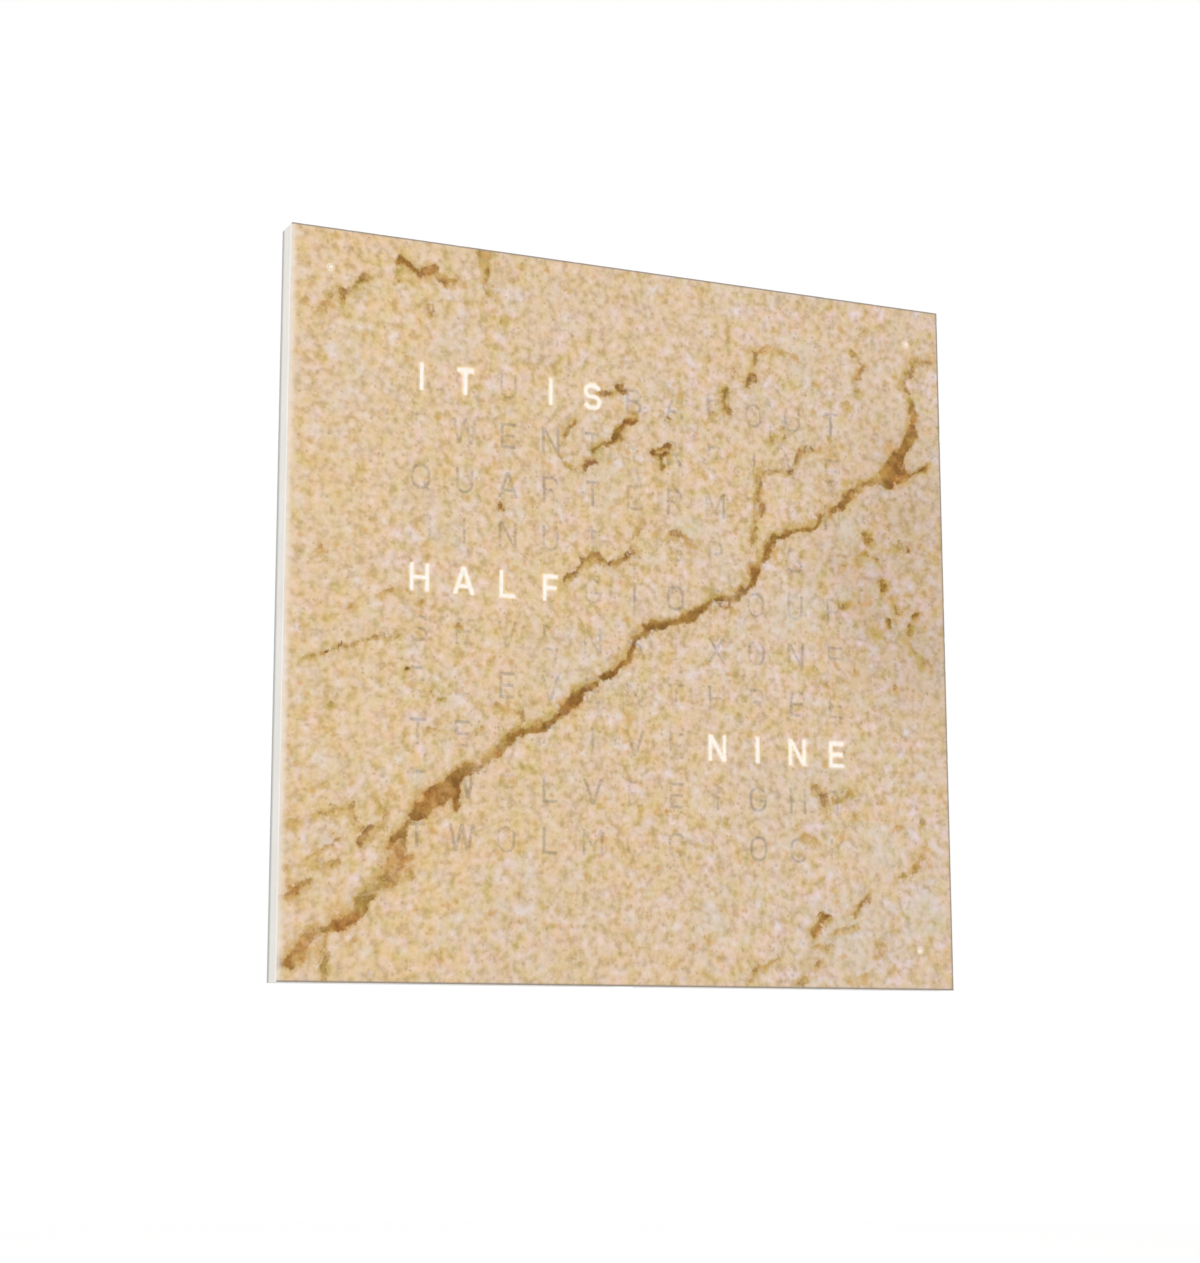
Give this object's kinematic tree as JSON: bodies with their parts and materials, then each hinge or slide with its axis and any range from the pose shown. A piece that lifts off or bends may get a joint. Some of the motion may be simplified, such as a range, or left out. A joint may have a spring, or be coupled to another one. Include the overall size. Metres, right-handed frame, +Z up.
{
  "type": "word clock",
  "caption": "Square flat wall clock with a stone face whose lettered windows light up to spell the time, on a shallow off-white frame.",
  "frame": {"origin": "middle of the back face, in the wall plane", "axes": "+X right seen from the front, +Y into the wall, +Z up; the stone face looks along -Y"},
  "size_m": [0.45, 0.02, 0.45],
  "materials": {
    "sandstone": "fine-grained natural sandstone with open brown fissures",
    "opal_sheet": "opal white sheet, satin edge",
    "plain_letters": "stone-tinted translucent inlay, level with the stone",
    "lit_letters": "opal inlay lit from behind, white",
    "keeper_steel": "zinc plated",
    "off_white_lacquer": "off-white satin lacquer",
    "bracket_steel": "zinc plated sheet",
    "zinc_screws": "zinc plated",
    "magnet_nickel": "nickel plated",
    "white_moulding": "white moulded plastic",
    "lamp_boards": "white solder mask on glass laminate",
    "lamp_packages": "white package with a yellow gel well",
    "brass_spacers": "turned",
    "lead_sheath": "grey vinyl",
    "green_board": "green solder mask on glass laminate",
    "chip_black": "black moulded packages",
    "cell_steel": "bright steel",
    "ferrite": "sintered dark grey",
    "copper_winding": "enamelled copper on a bobbin",
    "black_moulding": "black moulded plastic",
    "back_sheet": "anodised, satin",
    "clear_lens": "clear moulded lens",
    "button_cap": "light grey moulded caps"
  },
  "bodies": {
    "housing": {"frame_rail_top": "off_white_lacquer", "frame_rail_bottom": "off_white_lacquer", "frame_rail_left": "off_white_lacquer", "frame_rail_right": "off_white_lacquer", "corner_brackets": "bracket_steel", "bracket_screws": "zinc_screws", "magnets": "magnet_nickel", "light_grid": "white_moulding", "lamp_board_upper": "lamp_boards", "lamp_board_lower": "lamp_boards", "matrix_lamps": "lamp_packages", "board_spacers": "brass_spacers", "board_screws": "zinc_screws", "corner_lamp_cups": "white_moulding", "corner_lamp_boards": "lamp_boards", "corner_lamps": "lamp_packages", "inner_leads": "lead_sheath", "controller_board": "green_board", "controller_chips": "chip_black", "coin_cell_holder": "chip_black", "coin_cell": "cell_steel", "ribbon_cables": "lead_sheath", "radio_board": "green_board", "ferrite_antenna": "ferrite", "antenna_coil": "copper_winding", "power_inlet": "cell_steel", "inlet_pocket": "black_moulding", "back_panel": "back_sheet", "back_panel_screws": "zinc_screws", "hanger_plates": "bracket_steel", "hanger_rivets": "zinc_screws", "button_board": "green_board", "tact_switches": "chip_black", "light_sensor": "clear_lens"},
    "front_cover": {"stone_face": "sandstone", "stone_counters": "sandstone", "cover_plate": "opal_sheet", "letters_row_01": "plain_letters", "letters_row_02": "plain_letters", "letters_row_03": "plain_letters", "letters_row_04": "plain_letters", "letters_row_05": "plain_letters", "letters_row_06": "plain_letters", "letters_row_07": "plain_letters", "letters_row_08": "plain_letters", "letters_row_09": "plain_letters", "letters_row_10": "plain_letters", "lit_word_it": "lit_letters", "lit_word_is": "lit_letters", "lit_word_half": "lit_letters", "lit_word_nine": "lit_letters", "minute_dots_lit": "lit_letters", "minute_dot_unlit": "plain_letters", "keeper_discs": "keeper_steel", "locating_pins": "keeper_steel"},
    "button_1": {"setting_button_1": "button_cap"},
    "button_2": {"setting_button_2": "button_cap"},
    "button_3": {"setting_button_3": "button_cap"},
    "button_4": {"setting_button_4": "button_cap"}
  },
  "joints": [
    {"name": "cover_pull", "type": "slide", "parent": "housing", "child": "front_cover", "axis": [0, -1, 0], "range_m": [0, 0.03]},
    {"name": "button_1_press", "type": "slide", "parent": "housing", "child": "button_1", "axis": [0, 0, 1], "range_m": [0, 0.0005], "stiffness_N_per_m": 1000, "springref_m": -0.0006},
    {"name": "button_2_press", "type": "slide", "parent": "housing", "child": "button_2", "axis": [0, 0, 1], "range_m": [0, 0.0005], "stiffness_N_per_m": 1000, "springref_m": -0.0006},
    {"name": "button_3_press", "type": "slide", "parent": "housing", "child": "button_3", "axis": [0, 0, 1], "range_m": [0, 0.0005], "stiffness_N_per_m": 1000, "springref_m": -0.0006},
    {"name": "button_4_press", "type": "slide", "parent": "housing", "child": "button_4", "axis": [0, 0, 1], "range_m": [0, 0.0005], "stiffness_N_per_m": 1000, "springref_m": -0.0006}
  ]
}
